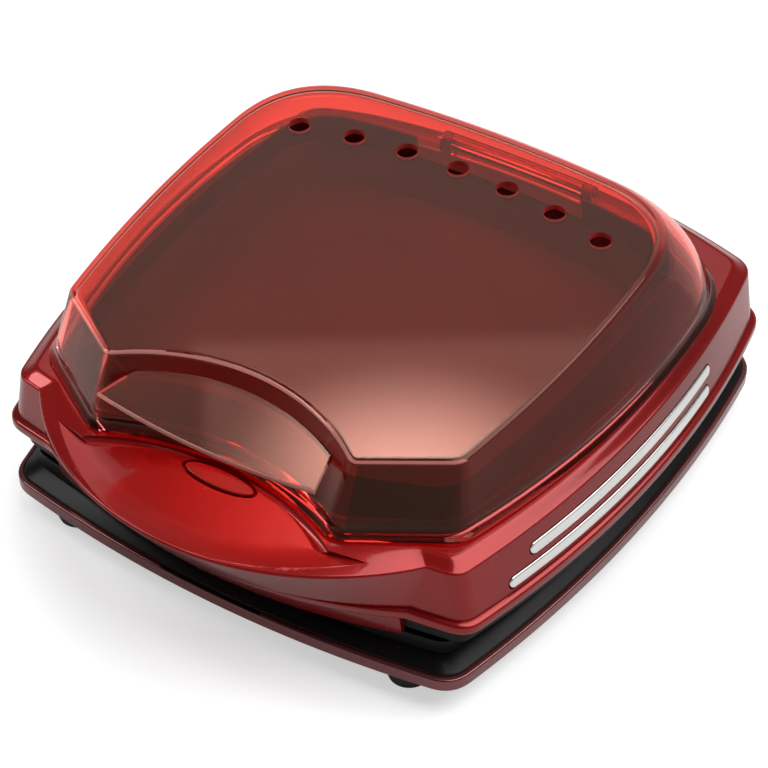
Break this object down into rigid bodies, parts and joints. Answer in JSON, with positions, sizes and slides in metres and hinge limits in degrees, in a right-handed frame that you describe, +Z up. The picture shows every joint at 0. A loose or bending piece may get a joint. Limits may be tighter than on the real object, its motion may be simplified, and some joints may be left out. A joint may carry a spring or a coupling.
{
  "type": "burger maker",
  "caption": "Hinged contact grill with round burger moulds in both plates and a clear hinged bun warming cover on its lid.",
  "frame": {"origin": "on the table, below the middle of the whole object in plan", "axes": "+Z up, +X towards the machine's right side, -Y towards the handle, the front"},
  "size_m": [0.2662, 0.299, 0.1136],
  "materials": {
    "lid_red": "candy red gloss with a metallic ground",
    "base_red": "dull metallic red gloss",
    "clear_red": "clear red, polished",
    "black_plastic": "black, half gloss",
    "nonstick": "dark non-stick coating on a cast plate",
    "tray_dark": "dark brown coating on sheet steel",
    "chrome": "bright chrome",
    "steel": "plain steel",
    "bright_sheet": "bright rolled sheet",
    "rubber": "matt black rubber",
    "lens_red": "clear dark red",
    "lamp_red": "clear red lamp cap",
    "lamp_green": "clear green lamp cap",
    "ceramic": "off-white, unglazed"
  },
  "bodies": {
    "base": {"base_shell": "base_red", "bottom_cover": "black_plastic", "foot_front_left": "rubber", "foot_front_right": "rubber", "foot_rear_left": "rubber", "foot_rear_right": "rubber", "base_screw_front_left": "steel", "base_screw_front_right": "steel", "base_screw_rear_left": "steel", "base_screw_rear_right": "steel", "lower_frame": "black_plastic", "lower_grill_plate": "nonstick", "lower_heater": "steel", "lower_reflector": "bright_sheet", "lower_thermostat": "ceramic", "lower_thermal_fuse": "steel", "terminal_block": "ceramic", "cord_gland": "rubber", "lid_hinge_pin_left": "steel", "lid_hinge_pin_right": "steel"},
    "grill_lid": {"lid_shell": "lid_red", "upper_frame": "black_plastic", "upper_grill_plate": "nonstick", "upper_heater": "steel", "upper_reflector": "bright_sheet", "upper_thermostat": "ceramic", "upper_thermal_fuse": "steel", "indicator_lens": "lens_red", "power_lamp": "lamp_red", "ready_lamp": "lamp_green", "lamp_holder": "black_plastic", "bun_tray": "tray_dark", "cover_hinge_rod": "steel", "upper_strip_left": "chrome", "upper_strip_right": "chrome", "lower_strip_left": "chrome", "lower_strip_right": "chrome", "lid_screw_front_left": "steel", "lid_screw_front_right": "steel", "lid_screw_rear_left": "steel", "lid_screw_rear_right": "steel"},
    "bun_cover": {"bun_cover": "clear_red"}
  },
  "joints": [
    {"name": "lid_hinge", "type": "hinge", "parent": "base", "child": "grill_lid", "pos_m": [0, 0.136, 0.04], "axis": [-1, 0, 0], "range_deg": [0, 100]},
    {"name": "cover_hinge", "type": "hinge", "parent": "grill_lid", "child": "bun_cover", "pos_m": [0, 0.124, 0.0805], "axis": [-1, 0, 0], "range_deg": [0, 80]}
  ]
}
